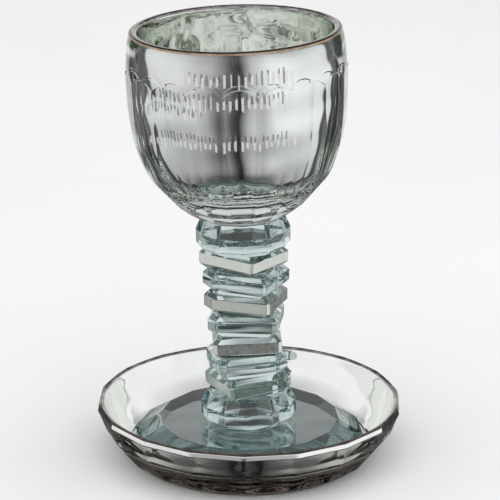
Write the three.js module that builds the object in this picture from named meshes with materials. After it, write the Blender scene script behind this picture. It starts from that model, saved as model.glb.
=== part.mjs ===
// A kiddush cup of cut crystal with a silvered bowl, standing loose in its silvered dish.
// Millimetres, +Z up, front towards -Y. The origin is the middle of the dish's underside.
// Angles are in degrees, measured round from the front towards +X.
import * as THREE from "three";

// Heights where one piece hands over to the next
const jointGap = 0.3; // room for the clear glue between two glued pieces
const dishFloorZ = 5.5;
const footTopZ = 14;
const lowerBeadTopZ = 25.5;
const bowlFloorZ = 106.8;
const bowlRimZ = 166.1;

// Dish
const dishPanels = 18;
const dishFirstRidge = -2;
const dishRimZ = 22;
const dishRimRadius = 58;
const dishStandRadius = 43.5;
const dishFloorRadius = 45;
const dishWall = 2.8;

// Foot: a flat slab with a wide slanted edge
const footSides = 16;
const footFirstCorner = 17.2;
const footFlatRadius = 34.4;
const footGirdleRadius = 43.6;
const footGirdleZ = 8.4;
const footGirdleHeight = 1.2;

// The two beads, at the ends of the stem
const beadSides = 12;
const lowerBeadRadius = 18.1;
const upperBeadRadius = 17.7;
const beadFlatRadius = 15.5;
const beadBandHeight = 5.2;
const beadLowerChamfer = 1.9;
const upperBeadHeight = 12;

// The seven square plates, counted from the bottom. They were ground and set by hand: each has its own
// size and turn (the angle of the corner nearest the front), its edge and bevels run a little askew (their
// rise towards -X and towards the front), and its corners are cut unequally, from that corner round.
const plates = [
  { turn: 71, halfSide: 12.9, riseLeft: -1.4, riseFront: 0, cuts: [2.2, 1.8, 2.2, 1.1] },
  { turn: 59, halfSide: 13.2, riseLeft: -0.7, riseFront: 0.5, cuts: [3.8, 1.5, 1.5, 1.9] },
  { turn: 47, halfSide: 12.9, riseLeft: -0.4, riseFront: 0, cuts: [1.2, 1.6, 1.4, 1.5] },
  { turn: 38, halfSide: 13.2, riseLeft: 1.4, riseFront: 2, cuts: [1.6, 1.4, 2, 3.3] },
  { turn: 27, halfSide: 13.7, riseLeft: 1.8, riseFront: 2.4, cuts: [0.9, 4.2, 1.6, 5.6] },
  { turn: 23, halfSide: 13.9, riseLeft: 3.2, riseFront: 2, cuts: [0.9, 3.2, 1.8, 6.2] },
  { turn: 10.5, halfSide: 12.6, riseLeft: 3.4, riseFront: 1.6, cuts: [0.8, 1.6, 1.2, 1.4] },
];
const plateHeight = 7.85;
const plateBandHeight = 4;
const plateLowerBevel = 1.8;
const plateUpperInset = 2;
const plateLowerInset = 1.7;

// Bowl
const fluteCount = 18;
const firstFlute = 2;
const bowlBottomRadius = 15.5;
const bowlShiftX = -0.5; // glued that far off the stem's own axis
const rimRadius = 39;
const rimWall = 3.1;
const rimRound = 0.9;
const archTopZ = 153;
const archFootZ = 150;
const archRunOut = 2.5;
const cavityRadius = 36.2;
const cavityEquatorZ = 157;
// The exponents of the cavity's wall: how long it stays wide, and how tightly it turns in to the floor
const cavityBelly = 2.4;
const cavityCorner = 0.22;
// The cut rows of the outside, from the seat up: height, and radius on the ridges
const cutRows = [
  [96.9, 19.4],
  [100.4, 23.9],
  [105, 28],
  [111.4, 33.6],
  [121.5, 37.9],
  [132, 39.9],
  [142, 40.6],
];
// The plain band over the flutes
const collarRows = [
  [158, 40.2],
  [162.5, 39.7],
];
const shoulderRadius = 40.7;

// The stem and bowl were glued a little out of plumb: they lean towards -X
const leanDegrees = 1.7;

const stepsPerPanel = 4;
const cavityRings = 11;
const rad = THREE.MathUtils.degToRad;

// A point at an angle round the axis
function polar(angle, radius, z) {
  return new THREE.Vector3(radius * Math.sin(rad(angle)), -radius * Math.cos(rad(angle)), z);
}

// One level ring of points; radius and z may each be a number or a function of the angle
function ring(count, firstAngle, radius, z) {
  const at = (value, angle) => (typeof value === "function" ? value(angle) : value);
  return Array.from({ length: count }, (_, i) => {
    const angle = firstAngle + (360 * i) / count;
    return polar(angle, at(radius, angle), at(z, angle));
  });
}

// A closed solid from rings of equal count, joined in order and closed at both ends
function loft(rings) {
  const count = rings[0].length;
  const middle = (points) => points.reduce((sum, p) => sum.add(p), new THREE.Vector3()).divideScalar(count);
  const vertices = [...rings.flat(), middle(rings[0]), middle(rings.at(-1))];
  const firstMiddle = rings.length * count;
  const lastRing = (rings.length - 1) * count;
  const faces = [];
  for (let j = 0; j < count; j += 1) {
    const next = (j + 1) % count;
    for (let low = 0; low < lastRing; low += count) {
      const high = low + count;
      faces.push(low + j, low + next, high + next, low + j, high + next, high + j);
    }
    faces.push(firstMiddle, next, j);
    faces.push(firstMiddle + 1, lastRing + j, lastRing + next);
  }
  const positions = vertices.flatMap((p) => p.toArray());
  const geometry = new THREE.BufferGeometry();
  geometry.setAttribute("position", new THREE.Float32BufferAttribute(positions, 3));
  geometry.setIndex(faces);
  geometry.computeVertexNormals();
  return geometry;
}

// The offset of an angle from the middle of its panel, in degrees
function panelOffset(angle, panels, firstPanel) {
  const width = 360 / panels;
  const turns = (angle - firstPanel) / width;
  return (turns - Math.round(turns)) * width;
}

// The radius of a flat panel that runs between two ridges
function flatPanel(ridgeRadius, panels, firstPanel) {
  const flat = ridgeRadius * Math.cos(Math.PI / panels);
  return (angle) => flat / Math.cos(rad(panelOffset(angle, panels, firstPanel)));
}

const clearCrystal = { color: 0xc9dcda, roughness: 0.04, metalness: 0, transparent: true, opacity: 0.55 };
const silveredGlass = { color: 0xb9bdbd, roughness: 0.12, metalness: 0.9 };
const silveredEdge = { color: 0xb8b8ae, roughness: 0.35, metalness: 0.6 };

function mesh(name, geometry, finish) {
  const piece = new THREE.Mesh(geometry, new THREE.MeshStandardMaterial({ ...finish, flatShading: true }));
  piece.name = name;
  return piece;
}

// The saucer: flat panels outside, over a groove and a lower row of facets; smooth inside
function makeDish() {
  const firstPanel = dishFirstRidge + 180 / dishPanels;
  const count = dishPanels * stepsPerPanel;
  const panelRow = (radius, z) => ring(count, dishFirstRidge, flatPanel(radius, dishPanels, firstPanel), z);
  const roundRow = (radius, z) => ring(count, dishFirstRidge, radius, z);
  const innerRimRadius = dishRimRadius - dishWall;
  return loft([
    roundRow(dishStandRadius, 0),
    panelRow(47.2, 2.2),
    panelRow(52.4, 8.6),
    roundRow(51.8, 9.6),
    panelRow(54.6, 11.2),
    panelRow(56.6, 16.4),
    panelRow(dishRimRadius, dishRimZ - 0.8),
    roundRow(dishRimRadius - dishWall / 2, dishRimZ),
    roundRow(innerRimRadius, dishRimZ - 0.7),
    roundRow(innerRimRadius - 1.9, 16.6),
    roundRow(innerRimRadius - 4.6, 11.4),
    roundRow(innerRimRadius - 7.8, 7.6),
    roundRow(dishFloorRadius, dishFloorZ),
  ]);
}

function makeFoot() {
  const row = (radius, z) => ring(footSides, footFirstCorner, radius, z);
  return loft([
    row(footGirdleRadius - 1.6, dishFloorZ + jointGap),
    row(footGirdleRadius, footGirdleZ - footGirdleHeight),
    row(footGirdleRadius, footGirdleZ),
    row(footFlatRadius, footTopZ),
  ]);
}

// The heights and radii of a bead that stands between two levels
function beadRows(radius, bottomZ, topZ) {
  return [
    [beadFlatRadius, bottomZ],
    [radius, bottomZ + beadLowerChamfer],
    [radius, bottomZ + beadLowerChamfer + beadBandHeight],
    [beadFlatRadius, topZ],
  ];
}

// The lower bead stands flat on the foot and carries the lean in its height
function makeLowerBead() {
  const lean = new THREE.Matrix4().makeRotationY(-rad(leanDegrees));
  const rows = beadRows(lowerBeadRadius, footTopZ + jointGap, lowerBeadTopZ);
  const rings = rows.map(([radius, z]) => ring(beadSides, 0, radius, z - footTopZ));
  rings.slice(1).flat().forEach((point) => point.applyMatrix4(lean));
  rings.flat().forEach((point) => point.setZ(point.z + footTopZ));
  return loft(rings);
}

function makeUpperBead(bottomZ, topZ) {
  return loft(beadRows(upperBeadRadius, bottomZ, topZ).map(([radius, z]) => ring(beadSides, 0, radius, z)));
}

// A turned square with its four corners cut off, as a ring of eight points
function squareRing(plate, inset, z) {
  const halfSide = plate.halfSide - inset;
  return plate.cuts.flatMap((cut, corner) => {
    const radius = Math.hypot(halfSide, halfSide - cut);
    const aside = 45 - THREE.MathUtils.radToDeg(Math.atan2(halfSide - cut, halfSide));
    return [-aside, aside].map((offset) => polar(plate.turn + 90 * corner + offset, radius, z));
  });
}

// The ring where the slanted lines from one ring through another meet a level
function levelRing(from, through, z) {
  return from.map((start, i) => start.clone().lerp(through[i], (z - start.z) / (through[i].z - start.z)));
}

// The edge band and both bevels are set askew together, and cut off level above and below
function makePlate(plate) {
  const middleZ = plateHeight / 2;
  const askew = new THREE.Euler(-rad(plate.riseFront), rad(plate.riseLeft), 0);
  const row = (inset, z) =>
    squareRing(plate, inset, z - middleZ).map((point) => point.applyEuler(askew).setZ(point.z + middleZ));
  const bandBottom = row(0, plateLowerBevel);
  const bandTop = row(0, plateLowerBevel + plateBandHeight);
  return loft([
    levelRing(bandBottom, row(plateLowerInset, 0), 0),
    bandBottom,
    bandTop,
    levelRing(bandTop, row(plateUpperInset, plateHeight), plateHeight),
  ]);
}

// The arched tops of the flutes: high in the middle of a flute, low on the ridges
function archZ(angle) {
  const across = panelOffset(angle, fluteCount, firstFlute) / (180 / fluteCount);
  return archTopZ - (archTopZ - archFootZ) * across ** 2;
}

// The cavity's radius, from its widest level down to its floor
function cavityWall(z) {
  const depth = (cavityEquatorZ - z) / (cavityEquatorZ - bowlFloorZ);
  return cavityRadius * (1 - depth ** cavityBelly) ** cavityCorner;
}

function makeBowl(bottomZ) {
  const count = fluteCount * stepsPerPanel;
  const firstRidge = firstFlute - 180 / fluteCount;
  const row = (radius, z) => ring(count, firstRidge, radius, z);
  const outside = cutRows.map(([z, radius]) => row(flatPanel(radius, fluteCount, firstFlute), z));
  const arches = [
    row(flatPanel(shoulderRadius, fluteCount, firstFlute), (angle) => archZ(angle) - archRunOut),
    row(shoulderRadius, archZ),
  ];
  const collar = collarRows.map(([z, radius]) => row(radius, z));
  const rim = [
    row(rimRadius, bowlRimZ - rimRound),
    row(rimRadius - rimRound, bowlRimZ),
    row(rimRadius - rimWall + rimRound, bowlRimZ),
    row(rimRadius - rimWall, bowlRimZ - rimRound),
  ];
  const cavity = Array.from({ length: cavityRings }, (_, i) => {
    const depth = Math.sin((i / cavityRings) * (Math.PI / 2));
    const z = cavityEquatorZ - depth * (cavityEquatorZ - bowlFloorZ);
    return row(cavityWall(z), z);
  });
  return loft([row(bowlBottomRadius, bottomZ), ...outside, ...arches, ...collar, ...rim, ...cavity]);
}

const cup = new THREE.Group();
cup.add(mesh("dish", makeDish(), silveredGlass));
cup.add(mesh("foot", makeFoot(), clearCrystal));
cup.add(mesh("lower_bead", makeLowerBead(), clearCrystal));

// Everything above the lower bead leans as one, about the middle of the foot's top
const platesBottomZ = lowerBeadTopZ + jointGap;
const upperBeadBottomZ = platesBottomZ + plates.length * (plateHeight + jointGap);
const upperBeadTopZ = upperBeadBottomZ + upperBeadHeight;
const leaning = new THREE.Group();
leaning.position.z = footTopZ;
leaning.rotation.y = -rad(leanDegrees);
cup.add(leaning);
const upright = new THREE.Group();
upright.position.z = -footTopZ;
leaning.add(upright);

plates.forEach((plate, i) => {
  const finish = i % 2 === 0 ? silveredEdge : clearCrystal;
  const piece = mesh(`plate_${i + 1}`, makePlate(plate), finish);
  piece.position.z = platesBottomZ + i * (plateHeight + jointGap);
  upright.add(piece);
});
upright.add(mesh("upper_bead", makeUpperBead(upperBeadBottomZ, upperBeadTopZ), clearCrystal));
const bowl = mesh("bowl", makeBowl(upperBeadTopZ + jointGap), silveredGlass);
bowl.position.x = bowlShiftX;
upright.add(bowl);

export default cup;
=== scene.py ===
"""The finish of a crystal kiddush cup standing in its silvered dish. Metres, +Z up, front towards -Y."""

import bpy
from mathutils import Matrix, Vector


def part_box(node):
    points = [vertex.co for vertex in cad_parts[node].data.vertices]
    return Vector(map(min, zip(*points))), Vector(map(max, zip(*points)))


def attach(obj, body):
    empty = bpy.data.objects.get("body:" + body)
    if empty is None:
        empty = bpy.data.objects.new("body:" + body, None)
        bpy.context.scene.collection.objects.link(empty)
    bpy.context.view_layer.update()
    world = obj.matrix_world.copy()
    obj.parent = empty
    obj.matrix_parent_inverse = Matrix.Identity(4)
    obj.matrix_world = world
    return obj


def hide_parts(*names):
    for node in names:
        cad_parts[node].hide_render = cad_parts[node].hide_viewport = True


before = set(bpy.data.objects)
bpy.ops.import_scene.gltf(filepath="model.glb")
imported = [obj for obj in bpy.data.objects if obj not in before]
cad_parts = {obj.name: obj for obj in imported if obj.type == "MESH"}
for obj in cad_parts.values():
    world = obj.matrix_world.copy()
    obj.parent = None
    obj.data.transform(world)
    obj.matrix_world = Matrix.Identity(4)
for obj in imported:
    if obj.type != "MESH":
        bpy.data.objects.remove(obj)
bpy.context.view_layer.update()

import math

import bmesh
import bpy
import numpy as np

# ---------------------------------------------------------------- places and sizes
FOOT_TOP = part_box("foot")[1].z
DISH_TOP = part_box("dish")[1].z
FOOT_GAP = 0.0003  # between the foot and the dish's floor
DISH_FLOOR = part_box("foot")[0].z - FOOT_GAP
LEAN = math.radians(1.7)  # the stem and bowl tip this far towards -X, about the middle of the foot's top
PLATES = 7
PANELS = 18  # round the dish, and flutes round the bowl
STEPS = 32  # grid columns to a panel
RIDGE_SOFTENING = 0.08  # the share of half a panel over which its ridge is rounded
CORNER_REACH = 0.45  # a corner's rounding takes at most this share of the stretches beside it

# Bowl: heights along its own axis, and radii
BOWL_SHIFT = -0.0005  # of its axis, along X
BOWL_RIM = 0.1661
FIRST_FLUTE = math.radians(2)
# The lower cuts are flat facets: height and radius on the ridges
FACET_ROWS = [(0.09515, 0.0155), (0.0969, 0.0194), (0.1004, 0.0239), (0.105, 0.028), (0.1114, 0.0336)]
FACET_SOFTENING = 0.00035  # how far from a corner its rounding starts
# Above them the outline swells in one curve up to the rim
SWELL = [(0.105, 0.028), (0.1114, 0.0336), (0.1215, 0.0379), (0.132, 0.0399), (0.142, 0.0406),
         (0.151, 0.0407), (0.158, 0.0402), (0.1625, 0.0397), (0.1651, 0.0390)]
ARCH_TOP = 0.153
ARCH_DROP = 0.003
ARCH_STEP = 0.0005
FLUTE_DEPTH = 0.9  # how far the flutes go from round (0) to flat (1)
# The rim is half an oval: the radius at its middle, half its width, and its height
RIM_MIDDLE = 0.03745
RIM_HALF = 0.00155
RIM_ROUND = 0.0010
CAVITY_RADIUS = 0.0362
CAVITY_WIDEST = 0.157
CAVITY_FLOOR = 0.1068
# The exponents of the cavity's wall: how long it stays wide, and how tightly it turns in to the floor
CAVITY_BELLY = 2.4
CAVITY_CORNER = 0.22
LIP_EASING = 0.008  # the height over which the lip eases in to the cavity

# The bowl's outside in rings: level up the flutes' feet, then curving more and more like the arches, then
# up to and round the collar
LEVEL_RINGS_TOP = 0.126
CURVED_RINGS_FOOT = 0.1264
BENT_COLLAR_TOP = 0.1590
ROUND_COLLAR_FOOT = 0.1600
FIRST_COLLAR_SHARE = 0.08  # the first ring above the arches lies this share of the way up to BENT_COLLAR_TOP
LEVEL_RINGS = 15
CURVED_RINGS = 62
ARCH_RINGS = 5
BENT_COLLAR_RINGS = 13
ROUND_COLLAR_RINGS = 6
RIM_RINGS = 9
LIP_RINGS = 5
CAVITY_RINGS = 45

# Etched rows: lowest and highest level, first and last angle in degrees, distance between strokes
STROKE_ROWS = [
    (0.1526, 0.1584, -27, 30, 0.0025),
    (0.1448, 0.1500, -50, 29, 0.0022),
    (0.1408, 0.1446, -58, -20, 0.0020),
    (0.1296, 0.1342, -7, 31, 0.0022),
    (0.1300, 0.1334, -52, -11, 0.0019),
]
STROKE_RADIUS = 0.0403  # of the bowl where the rows lie
STROKE_WIDTH = 0.0008
STROKE_DEPTH = 0.00006
STROKE_STRAY = 0.08  # sideways at most, as a share of the distance between strokes
# The most that a stroke falls short of its row at the foot and at the tip, as a share of the row's height
STROKE_FOOT_SHARE = 0.4
STROKE_TIP_SHARE = 0.3
STROKE_SEED = 18
# In the field of 0 to 1 that the strokes make: where a cut's side starts, how wide the side is, and where
# the frost starts
STROKE_SIDE_START = 0.3
STROKE_SIDE_WIDTH = 0.4
FROST_START = 0.5

# The waver of the cavity's silver: each wave's size, its waves round the bowl, its radians a metre upwards,
# and where it starts
SILVER_WAVES = [(3, 2, 60, 0), (1.1, 1, 380, 0.5), (0.7, 3, -520, 1), (1.3, 7, 150, 2)]
WAVE_UNIT = 0.00010
WAVER_FADE_TOP = 0.006
WAVER_FADE_FLOOR = 0.01

# Dish: height, radius on the ridges, and how flat its panels are there, from round (0) to flat (1)
DISH_FIRST_PANEL = math.radians(8)
DISH_OUTSIDE = [(0.0, 0.0435, 0), (0.0022, 0.0472, 1), (0.0086, 0.0524, 1), (0.0096, 0.0518, 0.3),
                (0.0112, 0.0546, 1), (0.0164, 0.0566, 1), (DISH_TOP - 0.0024, 0.058, 1),
                (DISH_TOP - 0.0008, 0.0576, 0.9)]
DISH_RIM = [(DISH_TOP - 0.0003, 0.0572, 0.8), (DISH_TOP - 0.0001, 0.0569, 0.5), (DISH_TOP, 0.0565, 0.2),
            (DISH_TOP - 0.0002, 0.0560, 0), (DISH_TOP - 0.0005, 0.0555, 0)]
DISH_SOFTENING = 0.0006
SILVERED_LIP = 0.0023  # the silver comes over the rim and this far down outside
# Its round inside: height and radius
DISH_WALL = [(DISH_TOP - 0.0007, 0.0552), (0.0166, 0.0533), (0.0114, 0.0506), (0.0076, 0.0474),
             (DISH_FLOOR, 0.045)]
DISH_FLOOR_EDGE = 0.0435
DISH_FLOOR_MIDDLE = 0.002
DISH_OUTSIDE_RINGS = 90
DISH_WALL_RINGS = 40
DISH_FLOOR_RINGS = 14
# The oval hollow in each lower facet
HOLLOW_MIDDLE = 0.0052
HOLLOW_HALF_HEIGHT = 0.0023
HOLLOW_HALF_WIDTH = 0.68  # as a share of half a panel
HOLLOW_DEPTH = 0.0006
HOLLOW_BLUNTNESS = 0.7

# Cut crystal
MERGE_DISTANCE = 0.00001
LEVEL_ANGLE = math.radians(1.2)  # faces that meet at less than this are one ground face
CHAMFER = 0.00012
CHAMFER_ANGLE = math.radians(12)
# How a face looks, by its normal: upright where it rises or falls by less than this, left where it turns
# right by less than this, and down where it falls past this
UPRIGHT = 0.3
LEFT = 0.1
DOWN = -0.9


# ---------------------------------------------------------------- surfaces
def eased(share):
    """The smooth step 3s^2 - 2s^3 of a share, held between 0 and 1."""
    share = np.clip(share, 0, 1)
    return share * share * (3 - 2 * share)


def smooth_profile(heights, table):
    """Radii at the heights: cubics through the table's points, each with the slope of its two neighbours."""
    z, r = np.array(table).T
    slope = np.gradient(r, z)
    i = np.clip(np.searchsorted(z, heights) - 1, 0, len(z) - 2)
    width = z[i + 1] - z[i]
    t = (heights - z[i]) / width
    return ((2 * t**3 - 3 * t**2 + 1) * r[i] + (t**3 - 2 * t**2 + t) * width * slope[i]
            + (3 * t**2 - 2 * t**3) * r[i + 1] + (t**3 - t**2) * width * slope[i + 1])


def panel_angles(first):
    """The angles of the grid's columns, starting on the ridge before the first panel."""
    return first - math.pi / PANELS + np.arange(PANELS * STEPS) * 2 * math.pi / (PANELS * STEPS)


def panel_share(angle, first):
    """How far an angle lies from the middle of its panel: 0 there, -1 and 1 on the ridges."""
    turns = (angle - first) * PANELS / (2 * math.pi)
    return 2 * (turns - np.round(turns))


def panelled(angle, first, flat):
    """What a radius is multiplied by: the cosine rule of a flat panel, cos(half) / cos(offset), with its
    ridges rounded, blended by `flat` from a circle (0) to panels (1)."""
    share = np.abs(panel_share(angle, first))
    past = np.clip(share - (1 - RIDGE_SOFTENING), 0, None)
    share = share - past**2 / (2 * RIDGE_SOFTENING)
    half = math.pi / PANELS
    return 1 + flat * (math.cos(half) / np.cos(share * half) - 1)


def ring_points(angle, radius, height):
    """Points at angles round the axis, from the front towards +X."""
    radius, height = np.broadcast_arrays(radius, height)
    return np.stack([radius * np.sin(angle), -radius * np.cos(angle), height + 0 * angle], axis=-1)


def leaned(points):
    """The points tipped by LEAN towards -X about the middle of the foot's top."""
    x, y, z = points[..., 0], points[..., 1], points[..., 2] - FOOT_TOP
    cos, sin = math.cos(LEAN), math.sin(LEAN)
    return np.stack([x * cos - z * sin, y, x * sin + z * cos + FOOT_TOP], axis=-1)


def corner_rows(rows, soft, steps):
    """A profile of straight stretches with every inner corner rounded: each corner becomes a short parabola
    of `steps` points that starts and ends `soft` away from it."""
    rows = np.array(rows, float)
    out = [rows[0]]
    for before, corner, after in zip(rows, rows[1:], rows[2:]):
        lengths = [np.linalg.norm(side[:2] - corner[:2]) for side in (before, after)]
        reach = min(soft, CORNER_REACH * min(lengths))
        start = corner + (before - corner) * reach / lengths[0]
        end = corner + (after - corner) * reach / lengths[1]
        for t in np.linspace(0, 1, steps):
            out.append((1 - t) ** 2 * start + 2 * t * (1 - t) * corner + t**2 * end)
    out.append(rows[-1])
    return np.array(out)


def ring_body(name, rings, finishes, quad_finish, end_finish, attributes=None):
    """A closed body from an array of rings (ring, column, xyz): quads between neighbouring rings, and a fan
    to the middle of the first and the last. quad_finish gives the finish of each quad (band, column) or of
    a whole band (band, 1), and end_finish those of the two fans."""
    count, columns = rings.shape[:2]
    vertices = np.concatenate([rings.reshape(-1, 3), rings[:1].mean(axis=1), rings[-1:].mean(axis=1)])
    low, column = np.meshgrid(np.arange(count - 1) * columns, np.arange(columns), indexing="ij")
    right = (column + 1) % columns
    quads = np.stack([low + column, low + right, low + columns + right, low + columns + column], axis=-1)
    near, far = count * columns, count * columns + 1
    each, after = np.arange(columns), (np.arange(columns) + 1) % columns
    last = (count - 1) * columns
    fans = np.concatenate([np.stack([near + 0 * each, after, each], axis=-1),
                           np.stack([far + 0 * each, last + each, last + after], axis=-1)])
    mesh = bpy.data.meshes.new(name)
    mesh.from_pydata(vertices, [], quads.reshape(-1, 4).tolist() + fans.tolist())
    quad_finish = np.broadcast_to(quad_finish, (count - 1, columns)).ravel()
    face_finish = np.concatenate([quad_finish, np.repeat(end_finish, columns)])
    mesh.polygons.foreach_set("material_index", face_finish.astype(np.int32))
    mesh.polygons.foreach_set("use_smooth", np.ones(len(mesh.polygons), bool))
    for label, values in (attributes or {}).items():
        padded = np.concatenate([values.ravel(), [0, 0]]).astype(np.float32)
        mesh.attributes.new(label, "FLOAT", "POINT").data.foreach_set("value", padded)
    for finish in finishes:
        mesh.materials.append(finish)
    mesh.update()
    piece = bpy.data.objects.new(name, mesh)
    bpy.context.scene.collection.objects.link(piece)
    return piece


# ---------------------------------------------------------------- finishes
class Finish:
    """A material and short ways to add nodes to it."""

    def __init__(self, name):
        self.material = bpy.data.materials.new(name)
        self.material.use_nodes = True
        self.nodes = self.material.node_tree.nodes
        self.links = self.material.node_tree.links
        self.shader = self.nodes["Principled BSDF"]
        self.place = self.node("ShaderNodeTexCoord").outputs["Object"]

    def node(self, kind, **settings):
        """A new node with its settings."""
        node = self.nodes.new(kind)
        for key, value in settings.items():
            setattr(node, key, value)
        return node

    def set(self, **sockets):
        """Sets plain values on the shader's sockets."""
        for key, value in sockets.items():
            self.shader.inputs[key.replace("_", " ")].default_value = value

    def noise(self, size, detail=3.0, wander=0.0):
        """A cloudy 0 to 1 pattern whose patches are about `size` metres across."""
        cloud = self.node("ShaderNodeTexNoise")
        cloud.inputs["Scale"].default_value = 1 / size
        cloud.inputs["Detail"].default_value = detail
        cloud.inputs["Distortion"].default_value = wander
        self.links.new(self.place, cloud.inputs["Vector"])
        return cloud.outputs["Fac"]

    def ramp(self, source, stops):
        """A colour ramp: (position, colour or grey level) stops."""
        ramp = self.node("ShaderNodeValToRGB")
        fill_ramp(ramp.color_ramp, stops)
        self.links.new(source, ramp.inputs["Fac"])
        return ramp.outputs["Color"]

    def rescale(self, source, low, high, start=0.0, end=1.0):
        """The source's range start..end carried over to low..high."""
        change = self.node("ShaderNodeMapRange")
        for key, value in {"From Min": start, "From Max": end, "To Min": low, "To Max": high}.items():
            change.inputs[key].default_value = value
        self.links.new(source, change.inputs["Value"])
        return change.outputs["Result"]

    def bump(self, source, depth, strength):
        """Raises the surface by the source, by at most `depth` metres, blended in by `strength`."""
        bump = self.node("ShaderNodeBump")
        bump.inputs["Distance"].default_value = depth
        bump.inputs["Strength"].default_value = strength
        self.links.new(source, bump.inputs["Height"])
        self.links.new(bump.outputs["Normal"], self.shader.inputs["Normal"])

    def feed(self, key, source):
        """Wires the source to one of the shader's sockets."""
        self.links.new(source, self.shader.inputs[key])


def fill_ramp(ramp, stops):
    """Puts (position, colour or grey level) stops into a colour ramp."""
    while len(ramp.elements) < len(stops):
        ramp.elements.new(1.0)
    for element, (position, level) in zip(ramp.elements, stops):
        element.position = position
        element.color = (*level, 1) if isinstance(level, tuple) else (level, level, level, 1)


def deepen(finish, tint, density):
    """Thick glass takes on a tint: plain absorption inside the body."""
    absorb = finish.node("ShaderNodeVolumeAbsorption")
    absorb.inputs["Color"].default_value = (*tint, 1)
    absorb.inputs["Density"].default_value = density
    finish.links.new(absorb.outputs["Volume"], finish.nodes["Material Output"].inputs["Volume"])


def clear_crystal(name, density, crown):
    """Polished crystal: see-through, green-blue in its depth by `density`, its hand-ground faces crowned by
    `crown` metres at most."""
    f = Finish(name)
    f.set(Base_Color=(0.985, 1.0, 0.995, 1), IOR=1.58, Transmission_Weight=1.0)
    f.feed("Roughness", f.rescale(f.noise(0.004), 0.0, 0.008, 0.3, 0.8))
    f.bump(f.noise(0.014, detail=0), crown, 0.6)
    deepen(f, (0.52, 0.67, 0.67), density)
    return f.material


def bowl_glass():
    """The bowl's clear glass, faintly grey in its depth and frosted where strokes are etched in it."""
    f = Finish("bowl_glass")
    f.set(IOR=1.5, Transmission_Weight=1.0)
    etched = f.node("ShaderNodeAttribute", attribute_name="etching").outputs["Fac"]
    frost = f.rescale(etched, 0.0, 1.0, 0.35, 0.65)
    f.feed("Roughness", f.rescale(frost, 0.0, 0.55))
    f.feed("Base Color", f.ramp(frost, [(0.0, (0.985, 1.0, 0.995)), (1.0, (0.80, 0.81, 0.79))]))
    f.bump(f.noise(0.0006, detail=2), 0.00002, 0.15)
    deepen(f, (0.73, 0.77, 0.755), 14)
    return f.material


def silvering():
    """Silver laid on glass: a bright mirror, a little clouded."""
    f = Finish("silvering")
    f.set(Metallic=1.0)
    cloud = f.noise(0.012, detail=4, wander=0.6)
    f.feed("Base Color", f.ramp(cloud, [(0.25, (0.82, 0.84, 0.82)), (0.75, (0.92, 0.93, 0.91))]))
    f.feed("Roughness", f.rescale(f.noise(0.005), 0.015, 0.06, 0.35, 0.8))
    f.bump(f.noise(0.014, detail=1, wander=1.0), 0.0001, 0.25)
    return f.material


def mirror_back():
    """The silver under the foot: a flatter, greyer mirror."""
    f = Finish("mirror_back")
    f.set(Metallic=1.0)
    f.feed("Base Color", f.ramp(f.noise(0.01), [(0.3, (0.80, 0.82, 0.82)), (0.7, (0.86, 0.88, 0.87))]))
    f.feed("Roughness", f.rescale(f.noise(0.003), 0.02, 0.05, 0.3, 0.7))
    return f.material


def matt_silvered_edge():
    """The plates' silvered edge faces: half matt, pale, with a fine speckle."""
    f = Finish("matt_silvered_edge")
    f.set(Metallic=1.0)
    grain = f.noise(0.0004, detail=4)
    f.feed("Base Color", f.ramp(grain, [(0.3, (0.66, 0.69, 0.64)), (0.7, (0.84, 0.87, 0.82))]))
    f.feed("Roughness", f.rescale(f.noise(0.0015), 0.26, 0.42, 0.3, 0.7))
    f.bump(grain, 0.00003, 0.4)
    return f.material


def rim_band():
    """The rounded top of a rim: mauve-grey metal, worn a little unevenly."""
    f = Finish("rim_band")
    f.set(Metallic=1.0)
    worn = f.noise(0.004, detail=4, wander=0.5)
    f.feed("Base Color", f.ramp(worn, [(0.35, (0.20, 0.18, 0.18)), (0.65, (0.50, 0.47, 0.48))]))
    f.feed("Roughness", f.rescale(worn, 0.12, 0.3, 0.3, 0.7))
    return f.material


def rim_line():
    """The fine dark line round the outer edge of a rim."""
    f = Finish("rim_line")
    f.set(Metallic=0.8)
    worn = f.noise(0.003, detail=4, wander=0.5)
    f.feed("Base Color", f.ramp(worn, [(0.3, (0.035, 0.03, 0.03)), (0.75, (0.12, 0.09, 0.08))]))
    f.feed("Roughness", f.rescale(worn, 0.2, 0.4, 0.3, 0.7))
    return f.material


def golden_edge():
    """The thin golden-brown edge under the bowl's dark line."""
    f = Finish("golden_edge")
    f.set(Metallic=0.9)
    worn = f.noise(0.005, detail=4, wander=0.5)
    f.feed("Base Color", f.ramp(worn, [(0.3, (0.30, 0.20, 0.13)), (0.7, (0.55, 0.42, 0.29))]))
    f.feed("Roughness", f.rescale(worn, 0.2, 0.4, 0.3, 0.7))
    return f.material


def etched_frost():
    """The etched strokes: white frosted glass that still lets some light through."""
    f = Finish("etched_frost")
    f.set(IOR=1.5, Transmission_Weight=0.4)
    grain = f.noise(0.0003, detail=3)
    f.feed("Base Color", f.ramp(grain, [(0.3, (0.80, 0.82, 0.80)), (0.7, (0.94, 0.95, 0.93))]))
    f.feed("Roughness", f.rescale(grain, 0.5, 0.7, 0.3, 0.7))
    return f.material


def dish_glass():
    """The dish's glass, smoky brown where it is thick."""
    f = Finish("dish_glass")
    f.set(IOR=1.5, Transmission_Weight=1.0)
    f.feed("Base Color", f.ramp(f.noise(0.01), [(0.3, (0.93, 0.92, 0.91)), (0.7, (0.98, 0.98, 0.97))]))
    f.feed("Roughness", f.rescale(f.noise(0.004), 0.0, 0.01, 0.3, 0.8))
    deepen(f, (0.50, 0.44, 0.40), 42)
    return f.material


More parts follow.
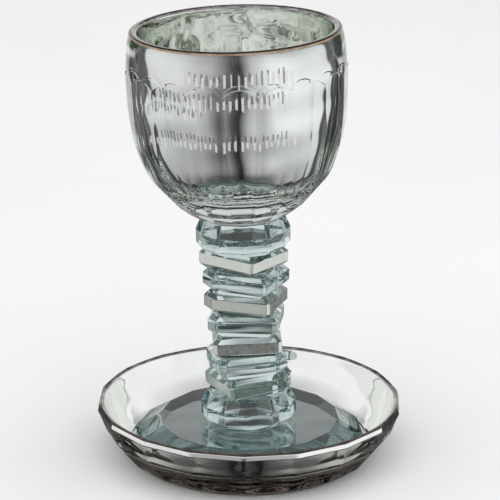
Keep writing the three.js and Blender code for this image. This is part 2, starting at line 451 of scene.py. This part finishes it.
STEM_CRYSTAL = clear_crystal("stem_crystal", 28, 0.0009)
FOOT_CRYSTAL = clear_crystal("foot_crystal", 26, 0.00005)
BOWL_GLASS = bowl_glass()
SILVER = silvering()
MIRROR_BACK = mirror_back()
SILVERED_EDGE = matt_silvered_edge()
RIM_LINE = rim_line()
RIM_BAND = rim_band()
GOLDEN_EDGE = golden_edge()
ETCHED_FROST = etched_frost()
DISH_GLASS = dish_glass()


# ---------------------------------------------------------------- bowl
def stroke_field(angle, height):
    """How deep each point lies in the etched rows, 0 outside and 1 in the middle of a stroke: one minus the
    distance to the nearest stroke's middle line over the stroke's width. Each stroke is one upright
    round-ended cut of its own height, parallel to its neighbours and clear of them."""
    draw = np.random.default_rng(STROKE_SEED)
    along = angle * STROKE_RADIUS
    nearest = np.ones(height.shape)
    for low, high, first, last, apart in STROKE_ROWS:
        tall = high - low
        start, end = math.radians(first) * STROKE_RADIUS, math.radians(last) * STROKE_RADIUS
        for middle in np.arange(start, end, apart):
            line = middle + draw.uniform(-STROKE_STRAY, STROKE_STRAY) * apart
            foot = low + draw.uniform(0, STROKE_FOOT_SHARE) * tall
            tip = high - draw.uniform(0, STROKE_TIP_SHARE) * tall
            distance = np.hypot(along - line, height - np.clip(height, foot, tip))
            nearest = np.minimum(nearest, distance / STROKE_WIDTH)
    return 1 - nearest


def arch_height(angle):
    """The scalloped top of the flutes: the arch's top less its drop times the square of the panel share."""
    return ARCH_TOP - ARCH_DROP * panel_share(angle, FIRST_FLUTE) ** 2


def bowl_outside(angle):
    """Rings up the outside, as (radius, height): flat facets low down, then flutes that end in arches, then a
    round collar."""
    level = 0 * angle
    facets = corner_rows([(z, r, 1) for z, r in FACET_ROWS], FACET_SOFTENING, steps=3)[:-1]
    rings = [(r * panelled(angle, FIRST_FLUTE, 1), z + level) for z, r, _ in facets]
    fluted = panelled(angle, FIRST_FLUTE, FLUTE_DEPTH)
    for z in np.linspace(FACET_ROWS[-1][0], LEVEL_RINGS_TOP, LEVEL_RINGS):
        rings.append((smooth_profile(z, SWELL) * fluted, z + level))
    arch = arch_height(angle)
    arch_foot = arch - ARCH_STEP
    for share in np.linspace(0, 1, CURVED_RINGS):
        z = CURVED_RINGS_FOOT + share * (arch_foot - CURVED_RINGS_FOOT)
        rings.append((smooth_profile(z, SWELL) * fluted, z))
    for share in np.linspace(0, 1, ARCH_RINGS + 1)[1:]:
        z = arch_foot + share * ARCH_STEP
        flatness = FLUTE_DEPTH * (1 - eased(share))
        rings.append((smooth_profile(z, SWELL) * panelled(angle, FIRST_FLUTE, flatness), z))
    for share in np.linspace(FIRST_COLLAR_SHARE, 1, BENT_COLLAR_RINGS):
        z = arch + share * (BENT_COLLAR_TOP - arch)
        rings.append((smooth_profile(z, SWELL), z))
    for z in np.linspace(ROUND_COLLAR_FOOT, BOWL_RIM - RIM_ROUND, ROUND_COLLAR_RINGS):
        rings.append((smooth_profile(z, SWELL) + level, z + level))
    return rings


def bowl_rim():
    """(radius, height) over the rim: half an oval from the outside to the inside."""
    turn = np.linspace(0, math.pi, RIM_RINGS + 2)[1:-1]
    return [(RIM_MIDDLE + RIM_HALF * np.cos(t), BOWL_RIM - RIM_ROUND + RIM_ROUND * np.sin(t)) for t in turn]


def bowl_inside():
    """(radius, height) down the inside: the lip eases in to the cavity, and the cavity is a blunt half oval,
    r = R (1 - depth^belly)^corner."""
    lip_top, lip_start = BOWL_RIM - RIM_ROUND, RIM_MIDDLE - RIM_HALF
    lip = np.linspace(lip_top, CAVITY_WIDEST, LIP_RINGS + 1)[:-1]
    lip_radius = lip_start + (CAVITY_RADIUS - lip_start) * eased((lip_top - lip) / LIP_EASING)
    depth = np.sin(np.linspace(0, 1, CAVITY_RINGS + 1)[:-1] * math.pi / 2)
    level = CAVITY_WIDEST - depth * (CAVITY_WIDEST - CAVITY_FLOOR)
    oval = CAVITY_RADIUS * (1 - depth**CAVITY_BELLY) ** CAVITY_CORNER
    return list(zip(np.concatenate([lip_radius, oval]), np.concatenate([lip, level])))


def silver_waver(angle, height):
    """How far the silver strays from its round wall, up to about 0.6 mm: the sum of the waves, each a sine
    of the angle and height, faded out at the lip and the floor."""
    waver = sum(size * np.sin(turns * angle + climb * height + start)
                for size, turns, climb, start in SILVER_WAVES)
    fade = eased((BOWL_RIM - height) / WAVER_FADE_TOP) * eased((height - CAVITY_FLOOR) / WAVER_FADE_FLOOR)
    return WAVE_UNIT * waver * fade


def make_bowl():
    """Outside, rounded rim and cavity as one closed sheet of rings, with strokes cut into the outside and a
    wavering coat of silver on the inside."""
    angle = panel_angles(FIRST_FLUTE)
    outside, rim, inside = bowl_outside(angle), bowl_rim(), bowl_inside()
    rings = np.array(outside + [(r + 0 * angle, z + 0 * angle) for r, z in rim + inside])
    radius, height = rings[:, 0], rings[:, 1]

    etching = np.zeros_like(radius)
    outer = slice(len(outside))
    from_front = (angle + math.pi) % (2 * math.pi) - math.pi
    etching[outer] = stroke_field(from_front, height[outer])
    radius[outer] -= STROKE_DEPTH * eased((etching[outer] - STROKE_SIDE_START) / STROKE_SIDE_WIDTH)
    first_inside = len(outside) + len(rim)
    radius[first_inside:] += silver_waver(angle, height[first_inside:])

    glass, silvered, line, gold, band, frost = range(6)
    edge = len(outside) - 1  # the first band of the rim; the golden edge and the dark line take two each
    bands = np.full(len(radius) - 1, glass)
    bands[edge:edge + 2] = gold
    bands[edge + 2:edge + 4] = line
    bands[edge + 4:first_inside] = band
    bands[first_inside:] = silvered
    corner_pairs = etching[:-1] + etching[1:]
    mean_etching = (corner_pairs + np.roll(corner_pairs, -1, axis=1)) / 4
    quads = np.where(mean_etching > FROST_START, frost, bands[:, None])

    points = ring_points(angle, radius, height)
    points[..., 0] += BOWL_SHIFT
    finishes = [BOWL_GLASS, SILVER, RIM_LINE, GOLDEN_EDGE, RIM_BAND, ETCHED_FROST]
    ends = [glass, silvered]
    return ring_body("silvered_bowl", leaned(points), finishes, quads, ends, {"etching": etching})


# ---------------------------------------------------------------- dish
def dish_outside():
    """Rows up the outside, as (height, radius, flatness): the table with its corners rounded, cut into evenly
    spaced rings."""
    rows = corner_rows(DISH_OUTSIDE, DISH_SOFTENING, steps=4)
    steps = np.linspace(0, len(rows) - 1, DISH_OUTSIDE_RINGS)
    return np.stack([np.interp(steps, np.arange(len(rows)), column) for column in rows.T], axis=-1)


def dish_inside():
    """Rows down the wall and in across the floor, as (height, radius, 0): one cubic curve for the wall, and
    a flat floor."""
    share = np.linspace(0, 1, DISH_WALL_RINGS)
    knots = np.linspace(0, 1, len(DISH_WALL))
    height, radius = (smooth_profile(share, list(zip(knots, column))) for column in zip(*DISH_WALL))
    wall = np.stack([height, radius, 0 * share], axis=-1)
    floor_radii = np.linspace(DISH_FLOOR_EDGE, DISH_FLOOR_MIDDLE, DISH_FLOOR_RINGS)
    return np.concatenate([wall, [(DISH_FLOOR, r, 0) for r in floor_radii]])


def make_dish():
    """The saucer: flat panels outside over a groove, and a lower row of facets with an oval hollow in each,
    whose depth goes with (1 - u^2 - v^2)^bluntness; smooth silver inside, turned over the lip."""
    angle = panel_angles(DISH_FIRST_PANEL)
    outside = dish_outside()
    rows = np.concatenate([outside, DISH_RIM, dish_inside()])
    height = rows[:, :1] + 0 * angle
    radius = rows[:, 1:2] * panelled(angle, DISH_FIRST_PANEL, rows[:, 2:])
    across = panel_share(angle, DISH_FIRST_PANEL) / HOLLOW_HALF_WIDTH
    up = (height - HOLLOW_MIDDLE) / HOLLOW_HALF_HEIGHT
    hollow = np.clip(1 - across**2 - up**2, 0, 1) ** HOLLOW_BLUNTNESS
    radius[:len(outside)] -= HOLLOW_DEPTH * hollow[:len(outside)]

    glass, silvered, line, band = range(4)
    first_inside = len(outside) + len(DISH_RIM)
    bands = np.full(len(rows) - 1, glass)
    bands[:len(outside)][outside[:, 0] > DISH_TOP - SILVERED_LIP] = silvered
    bands[len(outside) - 1:len(outside) + 1] = line
    bands[len(outside) + 1:first_inside] = band
    bands[first_inside:] = silvered
    finishes = [DISH_GLASS, SILVER, RIM_LINE, RIM_BAND]
    rings = ring_points(angle, radius, height)
    return ring_body("silvered_dish", rings, finishes, bands[:, None], [glass, silvered])


# ---------------------------------------------------------------- cut crystal
def cut_piece(node, name, crystal=STEM_CRYSTAL, backed=None, backing=None):
    """A piece ground from solid crystal: the node's flat faces, joined where they lie level with each
    other, with a hair-fine chamfer on every edge. `backed` picks the faces that carry silver, by their
    normals."""
    mesh = bpy.data.meshes.new(name)
    work = bmesh.new()
    work.from_mesh(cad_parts[node].data)
    bmesh.ops.remove_doubles(work, verts=work.verts, dist=MERGE_DISTANCE)
    bmesh.ops.dissolve_limit(work, angle_limit=LEVEL_ANGLE, verts=work.verts, edges=work.edges)
    bmesh.ops.recalc_face_normals(work, faces=work.faces)
    for face in work.faces:
        face.material_index = 1 if backed and backed(face.normal) else 0
        face.smooth = False
    work.to_mesh(mesh)
    work.free()
    mesh.materials.append(crystal)
    if backing:
        mesh.materials.append(backing)
    piece = bpy.data.objects.new(name, mesh)
    bpy.context.scene.collection.objects.link(piece)
    chamfer = piece.modifiers.new("chamfer", "BEVEL")
    chamfer.width = CHAMFER
    chamfer.segments = 1
    chamfer.limit_method = "ANGLE"
    chamfer.angle_limit = CHAMFER_ANGLE
    return piece


def upright(normal):
    """The faces round a plate's edge."""
    return abs(normal.z) < UPRIGHT


def upright_left(normal):
    """Those of them that look left."""
    return upright(normal) and normal.x < LEFT


def underside(normal):
    """The faces that look down."""
    return normal.z < DOWN


def make_stem():
    """Foot, beads and plates by their nodes. The odd plates carry silver on their edges, the lowest one
    only on the left."""
    stem = {
        "foot": cut_piece("foot", "crystal_foot", FOOT_CRYSTAL, underside, MIRROR_BACK),
        "lower_bead": cut_piece("lower_bead", "lower_crystal_bead"),
        "upper_bead": cut_piece("upper_bead", "upper_crystal_bead"),
    }
    for count in range(1, PLATES + 1):
        node = f"plate_{count}"
        if count % 2 == 0:
            stem[node] = cut_piece(node, f"crystal_plate_{count}")
        else:
            faces = upright_left if count == 1 else upright
            stem[node] = cut_piece(node, f"silver_edged_plate_{count}", backed=faces, backing=SILVERED_EDGE)
    return stem


# ---------------------------------------------------------------- studio
# Levels by elevation in degrees: a table that is dim under the cup, painted shade standing in for the cup's
# own shadow there, white at its edge, and a softer overhead sheet
STUDIO_HEIGHTS = [
    (-90, 0.04), (-64, 0.15), (-50, 0.5), (-26, 0.85), (-10, 1.0), (30, 0.95), (60, 0.6), (90, 0.4)]
# Levels by azimuth in degrees, 0 at the front: a white back between two black cards, a softer left side, a
# dark gap for the camera and a brighter right side
STUDIO_SIDES = [
    (-180, 1.0), (-148, 1.0), (-144, 0.05), (-126, 0.05), (-120, 0.9), (-60, 0.8), (-28, 0.5), (-6, 0.1),
    (5, 0.04), (20, 0.6), (45, 1.0), (120, 1.0), (126, 0.05), (144, 0.05), (148, 1.0), (180, 1.0)]
CAMERA_GAP_TOP = [(0, 0.0), (14, 1.0)]  # the camera's gap closes between these elevations
# Behind the cup, by elevation: a shaded strip of table, the back sheet, and a dark gap up to the overhead
# sheet
BACK_HEIGHTS = [(-70, 0.5), (-45, 0.1), (-21, 0.1), (-17, 1.0), (17, 1.0), (25, 0.05), (58, 0.05), (66, 1.0)]
# By azimuth: 0 where the levels behind the cup hold, 1 elsewhere
BACK_SIDES = [(-180, 0.0), (-160, 0.0), (-125, 1.0), (125, 1.0), (160, 0.0), (180, 0.0)]
FLOOR_HALF = 3.0
LAMP_SIZE = 3.0
LAMP_POWER = 30
LAMP_PLACE = (0.1, -0.5, 2.0)
CAMERA_PLACE = (0.00035, -0.8988, 0.3778)
CAMERA_TILT = math.radians(18.29)  # downwards
CAMERA_LENS = 182.2  # millimetres, on a sensor of this width
CAMERA_SENSOR = 36
CAMERA_NEAR = 0.01


def make_world():
    """A soft studio: its height levels, times the greater of its side levels and the camera gap's closing,
    times the greater of the two lists behind the cup. The camera itself sees plain white."""
    world = bpy.data.worlds.new("studio")
    bpy.context.scene.world = world
    world.use_nodes = True
    nodes, links = world.node_tree.nodes, world.node_tree.links
    nodes.clear()

    def math_node(operation, *values):
        node = nodes.new("ShaderNodeMath")
        node.operation = operation
        for socket, value in zip(node.inputs, values):
            if isinstance(value, (int, float)):
                socket.default_value = value
            else:
                links.new(value, socket)
        return node.outputs[0]

    def levels(source, stops):
        node = nodes.new("ShaderNodeValToRGB")
        fill_ramp(node.color_ramp, stops)
        links.new(source, node.inputs["Fac"])
        return node.outputs["Color"]

    parts = nodes.new("ShaderNodeSeparateXYZ")
    links.new(nodes.new("ShaderNodeTexCoord").outputs["Object"], parts.inputs[0])
    x, y, z = parts.outputs
    turn = math_node("DIVIDE", math_node("ARCTAN2", x, math_node("MULTIPLY", y, -1.0)), 2 * math.pi)
    azimuth = math_node("ADD", turn, 0.5)
    elevation = math_node("ADD", math_node("DIVIDE", math_node("ARCSINE", z), math.pi), 0.5)

    def by_azimuth(stops):
        return levels(azimuth, [((degrees + 180) / 360, level) for degrees, level in stops])

    def by_elevation(stops):
        return levels(elevation, [((degrees + 90) / 180, level) for degrees, level in stops])

    sides = math_node("MAXIMUM", by_azimuth(STUDIO_SIDES), by_elevation(CAMERA_GAP_TOP))
    back = math_node("MAXIMUM", by_elevation(BACK_HEIGHTS), by_azimuth(BACK_SIDES))
    colour = math_node("MULTIPLY", math_node("MULTIPLY", by_elevation(STUDIO_HEIGHTS), sides), back)

    studio = nodes.new("ShaderNodeBackground")
    links.new(colour, studio.inputs["Color"])
    plain = nodes.new("ShaderNodeBackground")
    plain.inputs["Color"].default_value = (1, 1, 1, 1)
    choice = nodes.new("ShaderNodeMixShader")
    links.new(nodes.new("ShaderNodeLightPath").outputs["Is Camera Ray"], choice.inputs["Fac"])
    links.new(studio.outputs[0], choice.inputs[1])
    links.new(plain.outputs[0], choice.inputs[2])
    links.new(choice.outputs[0], nodes.new("ShaderNodeOutputWorld").inputs["Surface"])


def make_floor():
    """A pale sheet under the cup. The polished pieces don't mirror it: they mirror the studio."""
    f = Finish("pale_floor")
    f.feed("Base Color", f.ramp(f.noise(0.2), [(0.3, 0.90), (0.7, 0.93)]))
    f.set(Roughness=0.9)
    corners = [(x * FLOOR_HALF, y * FLOOR_HALF, 0) for x, y in [(-1, -1), (1, -1), (1, 1), (-1, 1)]]
    mesh = bpy.data.meshes.new("floor")
    mesh.from_pydata(corners, [], [(0, 1, 2, 3)])
    mesh.materials.append(f.material)
    floor = bpy.data.objects.new("floor", mesh)
    bpy.context.scene.collection.objects.link(floor)
    floor.visible_glossy = False
    floor.visible_transmission = False


def make_lights():
    """One wide soft light overhead, for the floor and the matt faces."""
    light = bpy.data.lights.new("overhead", "AREA")
    light.shape = "SQUARE"
    light.size = LAMP_SIZE
    light.energy = LAMP_POWER
    lamp = bpy.data.objects.new("overhead", light)
    lamp.location = LAMP_PLACE
    lamp.visible_glossy = False
    lamp.visible_transmission = False
    bpy.context.scene.collection.objects.link(lamp)


def make_camera():
    """In front of the cup, looking towards +Y and down."""
    camera = bpy.data.cameras.new("camera")
    camera.lens = CAMERA_LENS
    camera.sensor_width = CAMERA_SENSOR
    camera.clip_start = CAMERA_NEAR
    holder = bpy.data.objects.new("camera", camera)
    holder.location = CAMERA_PLACE
    holder.rotation_euler = (math.pi / 2 - CAMERA_TILT, 0, 0)
    bpy.context.scene.collection.objects.link(holder)
    bpy.context.scene.camera = holder


make_camera()
make_world()
make_floor()
make_lights()
bpy.context.scene.view_settings.view_transform = "Standard"
# Enough bounces for light to cross the stacked crystal and the silvered cavity
bpy.context.scene.cycles.max_bounces = 32
bpy.context.scene.cycles.glossy_bounces = 24
bpy.context.scene.cycles.transmission_bounces = 24

pieces = make_stem()
pieces["bowl"] = make_bowl()
pieces["dish"] = make_dish()
for node, piece in pieces.items():
    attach(piece, "root")
    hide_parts(node)

bpy.context.view_layer.update()
